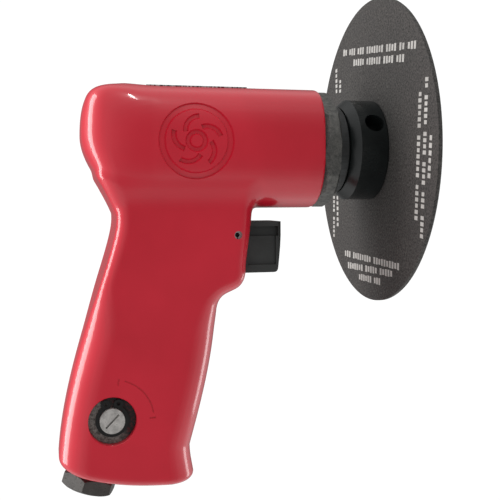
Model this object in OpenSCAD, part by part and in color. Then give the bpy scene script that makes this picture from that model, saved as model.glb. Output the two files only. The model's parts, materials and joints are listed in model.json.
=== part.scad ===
// Pistol-grip pneumatic disc sander with a 5 inch backing pad.
// Origin: centre of the pad's working face. +X runs out of the pad along the spindle, +Z is up.

/* [Backing pad] */
// Outer diameter of the backing pad
pad_d = 127; // [115:1:127]
// Thickness of the pad at its rim
pad_t = 1.6; // [1.4:0.1:1.8]

/* [Pad hub] */
// Outer diameter of the pad hub
hub_d = 41.8; // [40:0.2:44]
// Diameter of each tommy bar hole in the hub
tommy_d = 8; // [6:0.5:8]
// Angle of the first tommy bar hole above horizontal
tommy_angle = 29; // [0:1:60]

/* [Clamp nut] */
// Hexagon size across flats
nut_af = 44.8; // [44:0.2:46]
// Turned diameter across the corners
nut_corner_d = 47.7; // [46.5:0.1:48]

/* [Barrel] */
// Half width of the barrel
barrel_half_w = 24; // [24:0.5:27]
// Height of the barrel's top above the spindle axis
barrel_top = 24.3; // [24:0.1:27]
// Depth of the barrel's underside below the spindle axis
barrel_bottom = 24.1; // [24:0.1:27]

/* [Handle] */
// Half width of the grip at its middle
grip_half_w = 16.5; // [16:0.5:18]
// Tilt of the air inlet axis from vertical
inlet_tilt = 16.3; // [14:0.1:18]

/* [Motor] */
// Rotor diameter
rotor_d = 29.2; // [28:0.1:29.2]
// Offset of the liner bore above the spindle axis
eccentricity = 1.3; // [1:0.1:1.3]
// Number of balls in each bearing
ball_count = 8; // [6:1:8]

/* [Trigger] */
// Rearward travel of the trigger and the throttle valve
trigger_travel = 4.5; // [3.5:0.1:4.5]
// Width of the trigger
trigger_w = 17; // [15:0.5:17]

/* [Hidden] */
$fn = 64;

// Overlap of a cutting tool past the face that it opens
past = 0.5;
// Radial running clearance of a shaft or plunger
run = 0.05;
// Small gap between parts of different bodies that face each other
gap = 0.3;

// Stations along the spindle axis, from the pad towards the back
pad_back_x = -pad_t;
hub_rear_x = -16.8;
nose_front_x = -17.1;
nut_front_x = -22.5;
nut_rear_x = -29.1;
barrel_front_x = -29.5;
nut_thread_rear_x = -38.5;
liner_front_x = -44.5;
liner_rear_x = -90.5;
motor_bore_rear_x = -101;
rear_chamber_x = -105.5;

// Radii of the motor
motor_bore_r = 19;
nut_thread_r = 20.5;
nose_r = 18;
liner_bore_r = 16;
rotor_r = rotor_d / 2;
vane_t = 3;
vane_h = 7.5;
vane_slide = 2.3;
vane_tip_r = rotor_r - 0.05;
slot_floor_r = vane_tip_r - vane_h - vane_slide - 0.1;
spindle_r = 6;
rear_journal_r = 4;
spindle_thread_r = 4.76;
screw_r = 4;

// Bearings: bore radius, outer radius, ball radius, front face and width
front_bearing = [6, 14, 2.38, -24, 8];
rear_bearing = [4, 11, 1.98, -92.5, 7];

// Throttle: the trigger's pocket and the valve bore behind it
trigger_top_z = -29.5;
trigger_bottom_z = -50;
trigger_rear_x = -67.7;
pocket_rear_x = trigger_rear_x - trigger_travel - gap;
valve_z = -40;
valve_bore_r = 7;
valve_bore_rear_x = -97;
bushing_front_x = -74.5;
bushing_rear_x = -84;
poppet_t = 4;
stem_r = 2;
pin_pos = [-63.4, 0, -34.5];
pin_r = 1.6;

// Regulator and inlet: both lie on one tilted axis through the regulator's centre
regulator_pos = [-111.9, 0, -103.7];
regulator_r = 4.7;
regulator_recess_r = 9;
near_floor_y = -13;
far_floor_y = 12.5;
inlet_af = 19;
inlet_bore_r = 5.7;
inlet_thread_r = 8.2;
inlet_hex_top = -25;
inlet_hex_bottom = -30.4;
inlet_bore_l = 13.3;
screen_seat_r = 5.2;
passage_r = 3.5;

// Port through which air goes up into the liner
inlet_port = [-80.5, -3];
inlet_port_r = 2.4;

// Exhaust gallery beside the liner, its drop through the handle, and the bore in the handle's foot
gallery_y = 16.5;
gallery_r = 4.2;
drop_x = -84;
drop_y = 11.8;
drop_r = 3.2;
drop_bend_z = -61;
exhaust_x = -95;
exhaust_r = 8.5;
exhaust_cap_z = -128;

function bezier(a, b, c, d, steps = 8) =
    [for (i = [0:steps]) let (t = i / steps, u = 1 - t)
        u * u * u * a + 3 * u * u * t * b + 3 * u * t * t * c + t * t * t * d];
function power(v, n) = sign(v) * pow(abs(v), n);
function superellipse(half_w, top, bottom, n_top, n_bottom, step = 5) =
    [for (a = [0:step:360 - step])
        let (n = sin(a) > 0 ? n_top : n_bottom, h = sin(a) > 0 ? top : bottom)
        [half_w * power(cos(a), 2 / n), h * power(sin(a), 2 / n)]];

// Revolves an outline of [radius, x] points about the spindle axis
module turned(outline) {
    rotate([0, 90, 0]) rotate_extrude($fn = 96) polygon(outline);
}

module ring_x(x0, x1, r_out, r_in) {
    turned([[r_in, x0], [r_out, x0], [r_out, x1], [r_in, x1]]);
}

module rod_x(x0, x1, r) {
    translate([x0, 0, 0]) rotate([0, 90, 0]) cylinder(h = x1 - x0, r = r);
}

module rod_y(y0, y1, r) {
    translate([0, y0, 0]) rotate([-90, 0, 0]) cylinder(h = y1 - y0, r = r);
}

// Straight round passage between two points
module passage(a, b, r) {
    d = b - a;
    length = norm(d);
    translate(a) rotate([0, acos(d[2] / length), atan2(d[1], d[0])]) cylinder(h = length, r = r);
}

// Places children on the tilted inlet axis, with z = 0 at the regulator's centre
module on_inlet_axis() {
    translate(regulator_pos) rotate([0, inlet_tilt, 0]) children();
}

// Extrudes a side view outline of [x, z] points along Y
module side_prism(half_w) {
    rotate([90, 0, 0]) translate([0, 0, -half_w]) linear_extrude(2 * half_w) children();
}

// ---- Housing ----

module barrel_body() {
    intersection() {
        translate([-124, 0, 0]) rotate([90, 0, 90]) linear_extrude(124 + barrel_front_x)
            polygon(superellipse(barrel_half_w, barrel_top, barrel_bottom, 3.1, 2.35));
        side_prism(40) polygon(concat(
            [[barrel_front_x, 40], [-112, 40], [-112, 24.4]],
            bezier([-112.5, 24.4], [-121, 24.6], [-123.2, 14], [-123, 5]),
            bezier([-123, 4.5], [-123, -5], [-109.8, -15.5], [-109.8, -28.5]),
            [[-109.8, -40], [barrel_front_x, -40]]));
        translate([0, 0, -40]) linear_extrude(80) polygon(concat(
            [[barrel_front_x, 40], [-104, 40]],
            bezier([-104, 24.4], [-115, 24.4], [-124, 20], [-124, 6]),
            bezier([-124, -6], [-124, -20], [-115, -24.4], [-104, -24.4]),
            [[-104, -40], [barrel_front_x, -40]]));
    }
}

// Back and front edges of the handle in side view, and its half width from top to foot
handle_rings = 18;
back_edge = concat(
    bezier([-115, -12], [-110.4, -19], [-109.6, -26], [-111.1, -34.7], 5),
    bezier([-111.9, -38], [-116.8, -56], [-131.4, -90], [-132.1, -132], 12));
front_edge = concat(
    bezier([-56.3, -12], [-56.3, -20], [-56.4, -26], [-58, -37], 5),
    bezier([-58.9, -43], [-60, -56], [-63, -55.5], [-69, -58], 4),
    bezier([-70.8, -62.5], [-71.3, -82], [-80.4, -104], [-80.9, -117], 5),
    [[-80.6, -124], [-79.2, -132]]);
half_widths = bezier([18, 0], [17.6, 0], [grip_half_w, 0], [grip_half_w + 0.5, 0], handle_rings);
// Squareness of each ring: the trigger housing has flatter sides than the grip below it
trigger_rings = 8;
squareness = [for (i = [0:handle_rings]) i <= trigger_rings ? 5 : 3.4];
ring_sides = 36;
handle_points = [for (i = [0:handle_rings]) let (
        b = back_edge[i], f = front_edge[i], mid = (b + f) / 2, half = (f - b) / 2)
    for (p = superellipse(1, 1, 1, squareness[i], squareness[i], 360 / ring_sides))
        [mid[0] + p[0] * half[0], p[1] * half_widths[i][0], mid[1] + p[0] * half[1]]];
handle_faces = concat(
    [[for (j = [ring_sides - 1:-1:0]) j]],
    [for (i = [0:handle_rings - 1]) for (j = [0:ring_sides - 1]) let (
            k = (j + 1) % ring_sides, a = i * ring_sides, b = a + ring_sides)
        each [[a + j, b + k, b + j], [a + j, a + k, b + k]]],
    [[for (j = [0:ring_sides - 1]) handle_rings * ring_sides + j]]);

module handle_body() {
    intersection() {
        polyhedron(handle_points, handle_faces);
        side_prism(30) polygon(concat(
            [[-150, 0], [-150, -113.5]],
            bezier([-131.9, -120.6], [-113, -128.5], [-100, -130.2], [-81.5, -130.2], 10),
            [[-60, -130.2], [-40, 0]]));
    }
}

medallion_pos = [-80.6, 0, 1.5];
medallion_floor_y = 23.3;
medallion_r_out = 14.5;
medallion_r_in = 11.7;

// Round medallion on both sides: a shallow ring groove
module medallion_grooves() {
    for (turn = [0, 180])
        translate(medallion_pos) rotate([turn, 0, 0]) difference() {
            rod_y(medallion_floor_y, 26, medallion_r_out);
            rod_y(medallion_floor_y - 1, 27, medallion_r_in);
        }
}

// Nameplate, let into the barrel's top: rear edge, length, width, and the recess floor
plate_rear_x = -97.9;
plate_l = 39.8;
plate_w = 21.4;
plate_z = 23.3;

module motor_bores() {
    rod_x(motor_bore_rear_x, barrel_front_x + past, motor_bore_r);
    rod_x(nut_thread_rear_x, barrel_front_x + past, nut_thread_r);
    rod_x(rear_chamber_x, motor_bore_rear_x + past, 12);
    translate([0, gallery_y, -9]) rod_x(liner_rear_x + 2.5, liner_front_x - 5.5, gallery_r);
}

module air_passages() {
    // Inlet passage from the bushing to the valve chamber
    on_inlet_axis() translate([0, 0, -12]) cylinder(h = 76, r = passage_r);
    on_inlet_axis() translate([0, 0, inlet_hex_top + 1]) cylinder(h = 13, r = inlet_thread_r);
    // From the valve's gallery up to the liner's inlet port
    translate([inlet_port[0], inlet_port[1], -35]) cylinder(h = 20, r = inlet_port_r);
    // Exhaust from the gallery down to the silencer chamber
    passage([drop_x, drop_y, -12], [drop_x, drop_y, drop_bend_z], drop_r);
    passage([drop_x, drop_y, drop_bend_z + 1], [exhaust_x, 0, -103], drop_r);
    translate([exhaust_x, 0, exhaust_cap_z - 4]) cylinder(h = 32, r = exhaust_r);
    translate([exhaust_x, 0, exhaust_cap_z - 1]) cylinder(h = 1, r = exhaust_r + 0.6);
}

module throttle_bores() {
    translate([0, 0, trigger_bottom_z - gap])
        translate([pocket_rear_x, -trigger_w / 2 - gap, 0])
            cube([30, trigger_w + 2 * gap, trigger_top_z - trigger_bottom_z + 2 * gap]);
    translate([0, 0, valve_z]) rod_x(valve_bore_rear_x, pocket_rear_x + past, valve_bore_r);
    translate([0, 0, valve_z]) rod_x(-74.4, -73.3, valve_bore_r + 0.6);
    translate(pin_pos) rod_y(-30, 30, pin_r);
}

module regulator_bores() {
    translate(regulator_pos) {
        rod_y(-25, 25, regulator_r + run);
        rod_y(-25, near_floor_y, regulator_recess_r);
        rod_y(far_floor_y, 25, 8);
    }
}

module housing() {
    color("firebrick") difference() {
        union() {
            barrel_body();
            handle_body();
        }
        motor_bores();
        air_passages();
        throttle_bores();
        regulator_bores();
        medallion_grooves();
        translate([plate_rear_x - gap, -plate_w / 2 - gap, plate_z])
            cube([plate_l + 2 * gap, plate_w + 2 * gap, 5]);
    }
}

module nameplate() {
    color("dimgray") translate([plate_rear_x, -plate_w / 2, plate_z]) cube([plate_l, plate_w, 0.6]);
}

// ---- Front of the motor ----

module clamp_nut() {
    color([0.28, 0.28, 0.28]) difference() {
        union() {
            intersection() {
                rotate([9, 0, 0]) rotate([0, 90, 0]) translate([0, 0, nut_rear_x])
                    cylinder(h = nut_front_x - nut_rear_x, r = nut_af / 2 / cos(30), $fn = 6);
                turned([[0, nut_rear_x], [nut_corner_d / 2 - 1.4, nut_rear_x],
                    [nut_corner_d / 2, nut_rear_x + 2], [nut_corner_d / 2, nut_front_x - 0.8],
                    [nut_corner_d / 2 - 0.8, nut_front_x], [0, nut_front_x]]);
            }
            rod_x(nut_thread_rear_x, nut_rear_x + past, nut_thread_r - run);
        }
        rod_x(nut_thread_rear_x - past, nut_front_x + past, nose_r + 0.15);
    }
}

module nut_gasket() {
    color([0.06, 0.06, 0.06]) ring_x(barrel_front_x, nut_rear_x, 22.4, nut_thread_r + 0.1);
}

module front_end_plate() {
    bearing_r = front_bearing[1];
    bearing_rear_x = front_bearing[3] - front_bearing[4];
    color([0.2, 0.21, 0.21]) difference() {
        union() {
            rod_x(liner_front_x, nut_thread_rear_x, motor_bore_r - run);
            turned([[0, liner_front_x + 1], [nose_r, liner_front_x + 1],
                [nose_r, nose_front_x - 0.6], [nose_r - 0.6, nose_front_x], [0, nose_front_x]]);
        }
        rod_x(bearing_rear_x, nose_front_x + past, bearing_r);
        rod_x(liner_front_x - past, bearing_rear_x + past, spindle_r + 0.4);
        dowel_holes();
    }
}

// One turned race with its ball groove
module race(bearing, inner) {
    x0 = bearing[3] - bearing[4];
    x1 = bearing[3];
    pitch_r = (bearing[0] + bearing[1]) / 2;
    shoulder = 0.55 * bearing[2];
    difference() {
        if (inner)
            ring_x(x0, x1, pitch_r - shoulder, bearing[0]);
        else
            ring_x(x0, x1, bearing[1], pitch_r + shoulder);
        rotate([0, 90, 0]) translate([0, 0, (x0 + x1) / 2]) rotate_extrude($fn = 96)
            translate([pitch_r, 0]) circle(r = bearing[2] + 0.06, $fn = 48);
    }
}

module balls(bearing, grow = 0) {
    pitch_r = (bearing[0] + bearing[1]) / 2;
    for (i = [0:ball_count - 1])
        rotate([i * 360 / ball_count, 0, 0])
            translate([bearing[3] - bearing[4] / 2, 0, pitch_r])
                sphere(r = bearing[2] + grow, $fn = 32);
}

module cage(bearing) {
    pitch_r = (bearing[0] + bearing[1]) / 2;
    mid_x = bearing[3] - bearing[4] / 2;
    half = 0.35 * bearing[4];
    difference() {
        ring_x(mid_x - half, mid_x + half, pitch_r + 0.4 * bearing[2], pitch_r - 0.4 * bearing[2]);
        balls(bearing, 0.08);
    }
}

module front_bearing_outer_race() { color("lightsteelblue") race(front_bearing, false); }
module front_bearing_inner_race() { color("lightsteelblue") race(front_bearing, true); }
module front_bearing_balls() { color("silver") balls(front_bearing); }
module front_bearing_cage() { color("tan") cage(front_bearing); }

module spindle_spacer() {
    color("silver") ring_x(front_bearing[3], hub_rear_x, 8, spindle_r);
}

module felt_seal() {
    color("wheat") ring_x(-22.6, -19.9, front_bearing[1], 8.1);
}

module dust_shield() {
    color("gray") ring_x(-19.9, -18.3, front_bearing[1], 8.2);
}

// ---- Motor ----

module rotor() {
    color("slategray") difference() {
        turned([[0, -100], [rear_journal_r, -100], [rear_journal_r, liner_rear_x - 0.9],
            [rear_journal_r + 1, liner_rear_x - 0.9], [rear_journal_r + 1, liner_rear_x + 0.1],
            [rotor_r, liner_rear_x + 0.1], [rotor_r, liner_front_x - 0.1],
            [spindle_r, liner_front_x - 0.1], [spindle_r, hub_rear_x],
            [spindle_thread_r, hub_rear_x], [spindle_thread_r, -12.3], [0, -12.3]]);
        for (i = [0:3])
            rotate([90 * i, 0, 0])
                translate([liner_rear_x, -vane_t / 2 - run, slot_floor_r])
                    cube([liner_front_x - liner_rear_x, vane_t + 2 * run, rotor_r]);
    }
}

module vane(i) {
    color("saddlebrown") rotate([90 * i, 0, 0])
        translate([liner_rear_x + 0.2, -vane_t / 2, vane_tip_r - vane_h])
            cube([liner_front_x - liner_rear_x - 0.4, vane_t, vane_h]);
}

module vane_1() { vane(0); }
module vane_2() { vane(1); }
module vane_3() { vane(2); }
module vane_4() { vane(3); }

dowel_y = 8.4;
dowel_z = -14.6;
dowel_r = 1;

module dowel_holes() {
    translate([0, dowel_y, dowel_z]) {
        rod_x(-94, -86, dowel_r);
        rod_x(-49, -41.4, dowel_r);
    }
}

module cylinder_liner() {
    color("darkgray") difference() {
        rod_x(liner_rear_x, liner_front_x, motor_bore_r - run);
        translate([0, 0, eccentricity]) rod_x(liner_rear_x - past, liner_front_x + past, liner_bore_r);
        translate([inlet_port[0], inlet_port[1], -25]) cylinder(h = 15, r = inlet_port_r);
        for (x = [-84:8:-52])
            translate([x, 0, 0]) rotate([-28, 0, 0]) rod_y(12, 22, 2.2);
        dowel_holes();
    }
}

module liner_dowels() {
    color("silver") dowel_holes();
}

module rear_end_plate() {
    color("darkgray") difference() {
        rod_x(motor_bore_rear_x, liner_rear_x, motor_bore_r - run);
        rod_x(motor_bore_rear_x - past, rear_bearing[3], rear_bearing[1]);
        rod_x(rear_bearing[3] - past, liner_rear_x + past, rear_journal_r + 1.4);
        dowel_holes();
    }
}

module rear_bearing_outer_race() { color("lightsteelblue") race(rear_bearing, false); }
module rear_bearing_inner_race() { color("lightsteelblue") race(rear_bearing, true); }
module rear_bearing_balls() { color("silver") balls(rear_bearing); }
module rear_bearing_cage() { color("tan") cage(rear_bearing); }

// ---- Pad ----

cup_r = 10;
cup_wall = 1.4;
cup_floor_x = -4.2;
cup_back_x = cup_floor_x - cup_wall;
washer_t = 1.3;

module pad_hub() {
    r = hub_d / 2;
    color([0.11, 0.12, 0.12]) difference() {
        turned([[0, hub_rear_x], [17.8, hub_rear_x], [18.1, hub_rear_x + 0.3],
            [r, -13.3], [r, -2.1], [r - 0.5, pad_back_x], [0, pad_back_x]]);
        rod_x(cup_back_x, pad_back_x + past, cup_r + cup_wall);
        rod_x(hub_rear_x - past, -11.9, spindle_thread_r);
        rod_x(-12.4, 0, screw_r);
        for (i = [0:1])
            rotate([180 * i - tommy_angle, 0, 0])
                translate([-7, 0, 0]) rod_y(-r - past, -r + 8, tommy_d / 2);
    }
}

module backing_pad() {
    r = pad_d / 2;
    color([0.3, 0.29, 0.28]) turned([
        [screw_r + 0.1, cup_floor_x], [cup_r, cup_floor_x], [cup_r, 0], [r - 0.2, 0],
        [r, -0.4], [r, pad_back_x], [cup_r + cup_wall, pad_back_x],
        [cup_r + cup_wall, cup_back_x], [screw_r + 0.1, cup_back_x]]);
}

module pad_washer() {
    color("silver") ring_x(cup_floor_x, cup_floor_x + washer_t, 9, screw_r + 0.1);
}

module pad_screw() {
    head_x = cup_floor_x + washer_t;
    color([0.15, 0.15, 0.15]) difference() {
        turned([[0, -11.5], [screw_r - 0.5, -11.5], [screw_r, -11], [screw_r, head_x],
            [7.5, head_x], [7.5, head_x + 1], [5.6, -0.5], [0, -0.5]]);
        rotate([0, 90, 0]) translate([0, 0, -4.5])
            cylinder(h = 5, r = 2.5 / cos(30), $fn = 6);
    }
}

// ---- Trigger and throttle valve ----

// Side view of the trigger: a slanted finger face with small rounded corners
module trigger_outline() {
    polygon(concat(
        [[trigger_rear_x, trigger_bottom_z], [-46.7, trigger_bottom_z]],
        bezier([-46.7, -50], [-45.6, -50], [-44.9, -49.4], [-44.8, -48.2], 4),
        bezier([-42.7, -31], [-42.6, -30], [-42.9, -29.5], [-44, -29.5], 4),
        [[trigger_rear_x, trigger_top_z]]));
}

module trigger() {
    half = trigger_w / 2;
    slot_end = pin_pos[0] + trigger_travel;
    color([0.19, 0.2, 0.2]) difference() {
        intersection() {
            side_prism(half) trigger_outline();
            translate([0, 0, -60]) linear_extrude(40) polygon(concat(
                [[trigger_rear_x, -half], [-45.5, -half]],
                bezier([-45.5, -half], [-43.3, -half], [-42.6, -half + 2], [-42.6, 0], 6),
                bezier([-42.6, 0], [-42.6, half - 2], [-43.3, half], [-45.5, half], 6),
                [[trigger_rear_x, half]]));
        }
        // Moulded recess in each flank, deeper just under the top flange
        for (side = [-1, 1]) {
            translate([-57.4, side * half - 1, -46.9]) cube([11.6, 2, 15.4]);
            translate([-57.4, side * half - 2.4, -35.4]) cube([12.6, 4.8, 3.9]);
        }
        // Slot that lets the trigger slide past the roll pin
        translate([pin_pos[0], 0, pin_pos[2]]) rod_y(-20, 20, pin_r + 0.15);
        translate([slot_end, 0, pin_pos[2]]) rod_y(-20, 20, pin_r + 0.15);
        translate([pin_pos[0], -20, pin_pos[2] - pin_r - 0.15])
            cube([trigger_travel, 40, 2 * pin_r + 0.3]);
    }
}

module trigger_pin() {
    color("silver") translate(pin_pos) difference() {
        rod_y(-15.8, 15.8, pin_r);
        rod_y(-16, 16, 0.9);
        translate([-0.2, -16, -2]) cube([0.4, 32, 2]);
    }
}

module valve_stem() {
    color("silver") translate([0, 0, valve_z]) rod_x(bushing_rear_x - 0.3, trigger_rear_x - 0.05, stem_r);
}

module throttle_valve() {
    rear_x = bushing_rear_x - poppet_t;
    color("goldenrod") translate([0, 0, valve_z])
        turned([[0, rear_x - 1.5], [2.4, rear_x - 1.5], [2.4, rear_x], [4.8, rear_x],
            [4.8, bushing_rear_x - 1.2], [stem_r, bushing_rear_x - 1.2],
            [stem_r, bushing_rear_x - 0.3], [0, bushing_rear_x - 0.3]]);
}

module valve_seal() {
    color([0.08, 0.08, 0.08]) translate([0, 0, valve_z])
        ring_x(bushing_rear_x - 1.2, bushing_rear_x - 0.05, 4.8, stem_r);
}

bushing_seal_x = [-83.3, -76.5];

// Throttle bushing: a waist round four cross ports, and two seal grooves
module valve_bushing() {
    r = valve_bore_r - run;
    color("gold") translate([0, 0, valve_z]) difference() {
        turned([[0, bushing_rear_x], [r, bushing_rear_x], [r, -82.6], [5.2, -82.6],
            [5.2, -78.6], [r, -78.6], [r, bushing_front_x], [0, bushing_front_x]]);
        rod_x(bushing_rear_x - past, -78, 3.4);
        rod_x(-78.5, bushing_front_x + past, stem_r + run);
        for (a = [0, 90, 180, 270])
            translate([-80.6, 0, 0]) rotate([a, 0, 0]) cylinder(h = 6, r = 1.6);
        for (x = bushing_seal_x)
            ring_x(x - 0.6, x + 0.6, r + 1, r - 1);
    }
}

module bushing_seals() {
    color([0.08, 0.08, 0.08]) translate([0, 0, valve_z])
        for (x = bushing_seal_x)
            translate([x, 0, 0]) rotate([0, 90, 0]) rotate_extrude($fn = 64)
                translate([valve_bore_r - 0.52, 0]) circle(r = 0.5, $fn = 24);
}

module bushing_retaining_ring() {
    color([0.15, 0.15, 0.15]) translate([0, 0, valve_z]) difference() {
        ring_x(-74.4, -73.4, valve_bore_r + 0.55, valve_bore_r - 1.6);
        translate([-75, -2, -9]) cube([3, 4, 6]);
    }
}

spring_r = 3.6;
spring_wire_r = 0.4;
spring_turns = 5;
spring_steps = 16;
spring_sides = 8;
spring_front_x = bushing_rear_x - poppet_t - spring_wire_r - 0.05;
spring_rear_x = valve_bore_rear_x + spring_wire_r + 0.05;

// One ring of the spring wire's outline at step i of the helix
function spring_ring(i) = let (
        share = i / (spring_turns * spring_steps), a = 360 * i / spring_steps,
        x = spring_rear_x + share * (spring_front_x - spring_rear_x))
    [for (k = [0:spring_sides - 1]) let (
            b = 360 * k / spring_sides, r = spring_r + spring_wire_r * cos(b))
        [x + spring_wire_r * sin(b), r * cos(a), valve_z + r * sin(a)]];

module valve_spring() {
    last = spring_turns * spring_steps;
    color("lightgray") polyhedron(
        [for (i = [0:last]) each spring_ring(i)],
        concat(
            [[for (k = [spring_sides - 1:-1:0]) k]],
            [for (i = [0:last - 1]) for (k = [0:spring_sides - 1]) let (
                    m = (k + 1) % spring_sides, a = i * spring_sides, b = a + spring_sides)
                each [[a + k, a + m, b + m], [a + k, b + m, b + k]]],
            [[for (k = [0:spring_sides - 1]) last * spring_sides + k]]));
}

// ---- Regulator ----

seal_y = [-8.5, 8.5];

module regulator_stem() {
    color("gainsboro") translate(regulator_pos) difference() {
        union() {
            rod_y(-16.3, far_floor_y + 1, regulator_r);
            rod_y(far_floor_y + run, far_floor_y + 2.2, 7);
        }
        // Air hole, turned half way between open and shut
        rotate([0, inlet_tilt + 42, 0]) translate([0, 0, -6]) cylinder(h = 12, r = 3.2);
        // Groove of the snap ring and grooves of the seals
        groove(-14.9, -13.85, regulator_r - 0.6);
        for (y = seal_y)
            groove(y - 0.8, y + 0.8, regulator_r - 1.2);
        // Screwdriver slots
        rotate([0, -45, 0]) translate([-3.4, -16.8, -0.35]) cube([6.8, 1.7, 0.7]);
        rotate([0, -45, 0]) translate([-4.5, far_floor_y + 1.2, -0.5]) cube([9, 1.5, 1]);
    }
}

module groove(y0, y1, r_in) {
    difference() {
        rod_y(y0, y1, regulator_r + 1);
        rod_y(y0 - 1, y1 + 1, r_in);
    }
}

module regulator_seals() {
    color([0.08, 0.08, 0.08]) translate(regulator_pos)
        for (y = seal_y)
            translate([0, y, 0]) rotate([90, 0, 0]) rotate_extrude($fn = 64)
                translate([regulator_r - 0.58, 0]) circle(r = 0.6, $fn = 24);
}

lug_x = 2.4;
lug_z = 6;

module regulator_snap_ring() {
    color([0.1, 0.1, 0.1]) translate(regulator_pos) difference() {
        union() {
            rod_y(-14.85, -13.9, regulator_r + 1.5);
            for (side = [-1, 1])
                translate([side * lug_x, 0, lug_z]) rod_y(-14.85, -13.9, 1.8);
        }
        rod_y(-16, -13, regulator_r - 0.6);
        translate([-0.6, -16, 0]) cube([1.2, 3, 10]);
        for (side = [-1, 1])
            translate([side * lug_x, 0, lug_z + 0.2]) rod_y(-16, -13, 0.7);
    }
}

module regulator_washer() {
    color([0.28, 0.27, 0.26]) translate(regulator_pos) difference() {
        rod_y(near_floor_y - 0.8, near_floor_y, regulator_recess_r - 0.1);
        rod_y(near_floor_y - 2, near_floor_y + 1, regulator_r + 0.2);
    }
}

// ---- Inlet ----

module inlet_bushing() {
    corner_r = inlet_af / 2 / cos(30);
    bore_end = inlet_hex_bottom + inlet_bore_l;
    color([0.22, 0.21, 0.2]) on_inlet_axis() difference() {
        union() {
            intersection() {
                translate([0, 0, inlet_hex_bottom]) rotate([0, 0, 14])
                    cylinder(h = inlet_hex_top - inlet_hex_bottom, r = corner_r, $fn = 6);
                rotate_extrude($fn = 64) polygon([
                    [0, inlet_hex_bottom], [9.6, inlet_hex_bottom],
                    [corner_r + 0.2, inlet_hex_bottom + 1], [corner_r + 0.2, inlet_hex_top - 1],
                    [9.6, inlet_hex_top], [0, inlet_hex_top]]);
            }
            translate([0, 0, inlet_hex_top - 1]) cylinder(h = 12.5, r = inlet_thread_r - run);
        }
        translate([0, 0, inlet_hex_bottom - past]) cylinder(h = inlet_bore_l + past, r = inlet_bore_r);
        translate([0, 0, bore_end - past]) cylinder(h = 1.2 + past, r = screen_seat_r);
        translate([0, 0, bore_end]) cylinder(h = 5, r = 4);
    }
}

module inlet_gasket() {
    color([0.06, 0.06, 0.06]) on_inlet_axis() difference() {
        translate([0, 0, inlet_hex_top]) cylinder(h = 1.6, r = 9.3);
        translate([0, 0, inlet_hex_top - 1]) cylinder(h = 4, r = inlet_thread_r);
    }
}

// Perforated disc in its seat at the end of the bore
module inlet_screen() {
    color("gray") on_inlet_axis() translate([0, 0, inlet_hex_bottom + inlet_bore_l + 0.2]) difference() {
        cylinder(h = 0.9, r = screen_seat_r - run);
        for (i = [0:6])
            rotate([0, 0, 60 * i]) translate([i == 6 ? 0 : 3, 0, -1]) cylinder(h = 3, r = 1);
    }
}

// ---- Exhaust ----

module exhaust_silencer() {
    color("tan") translate([exhaust_x, 0, exhaust_cap_z + 1.5]) cylinder(h = 16, r = exhaust_r - run);
}

module exhaust_cap() {
    color([0.2, 0.2, 0.2]) translate([exhaust_x, 0, exhaust_cap_z]) difference() {
        cylinder(h = 1.5, r = exhaust_r - run);
        for (ring = [1:2])
            for (i = [0:6 * ring - 1])
                rotate([0, 0, i * 60 / ring]) translate([3 * ring, 0, -1]) cylinder(h = 4, r = 0.8);
        translate([0, 0, -1]) cylinder(h = 4, r = 0.8);
    }
}

module exhaust_snap_ring() {
    color([0.1, 0.1, 0.1]) translate([exhaust_x, 0, exhaust_cap_z - 1]) difference() {
        cylinder(h = 1, r = exhaust_r + 0.55);
        translate([0, 0, -1]) cylinder(h = 3, r = exhaust_r - 1);
        translate([3, -2, -1]) cube([8, 4, 3]);
    }
}

housing();
nameplate();
clamp_nut();
nut_gasket();
front_end_plate();
front_bearing_outer_race();
front_bearing_inner_race();
front_bearing_balls();
front_bearing_cage();
spindle_spacer();
dust_shield();
felt_seal();
rotor();
vane_1();
vane_2();
vane_3();
vane_4();
cylinder_liner();
liner_dowels();
rear_end_plate();
rear_bearing_outer_race();
rear_bearing_inner_race();
rear_bearing_balls();
rear_bearing_cage();
pad_hub();
backing_pad();
pad_washer();
pad_screw();
trigger();
trigger_pin();
valve_stem();
throttle_valve();
valve_seal();
valve_bushing();
bushing_seals();
bushing_retaining_ring();
valve_spring();
regulator_stem();
regulator_seals();
regulator_snap_ring();
regulator_washer();
inlet_bushing();
inlet_gasket();
inlet_screen();
exhaust_silencer();
exhaust_cap();
exhaust_snap_ring();
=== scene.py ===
"""Looks of a pistol-grip pneumatic disc sander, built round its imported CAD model.

Lengths in this script are in millimetres and become metres where a mesh, light or camera is made.
+X runs along the spindle out of the pad, +Z is up, and -Y is the side with the regulator.
"""
import json
import math

import bmesh
import bpy
import numpy as np
from mathutils import Matrix, Vector


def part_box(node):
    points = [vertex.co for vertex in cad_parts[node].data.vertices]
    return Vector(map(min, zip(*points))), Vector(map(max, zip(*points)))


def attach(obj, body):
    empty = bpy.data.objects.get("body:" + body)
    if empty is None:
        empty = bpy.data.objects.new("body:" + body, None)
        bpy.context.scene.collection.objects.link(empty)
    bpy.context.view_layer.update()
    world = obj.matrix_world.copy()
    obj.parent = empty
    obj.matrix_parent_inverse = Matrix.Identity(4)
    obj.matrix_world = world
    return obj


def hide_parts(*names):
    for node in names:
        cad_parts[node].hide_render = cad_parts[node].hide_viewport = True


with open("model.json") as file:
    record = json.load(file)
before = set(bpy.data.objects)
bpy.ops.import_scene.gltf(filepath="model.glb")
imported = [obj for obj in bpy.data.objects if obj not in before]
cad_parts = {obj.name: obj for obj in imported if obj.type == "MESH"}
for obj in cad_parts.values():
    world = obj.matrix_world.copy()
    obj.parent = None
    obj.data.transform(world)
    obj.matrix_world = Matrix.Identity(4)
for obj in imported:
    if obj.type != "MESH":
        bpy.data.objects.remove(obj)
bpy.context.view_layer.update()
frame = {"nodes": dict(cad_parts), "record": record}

MM = 0.001
ROOT = "housing_assembly"
ROTOR = "rotor_assembly"


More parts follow.
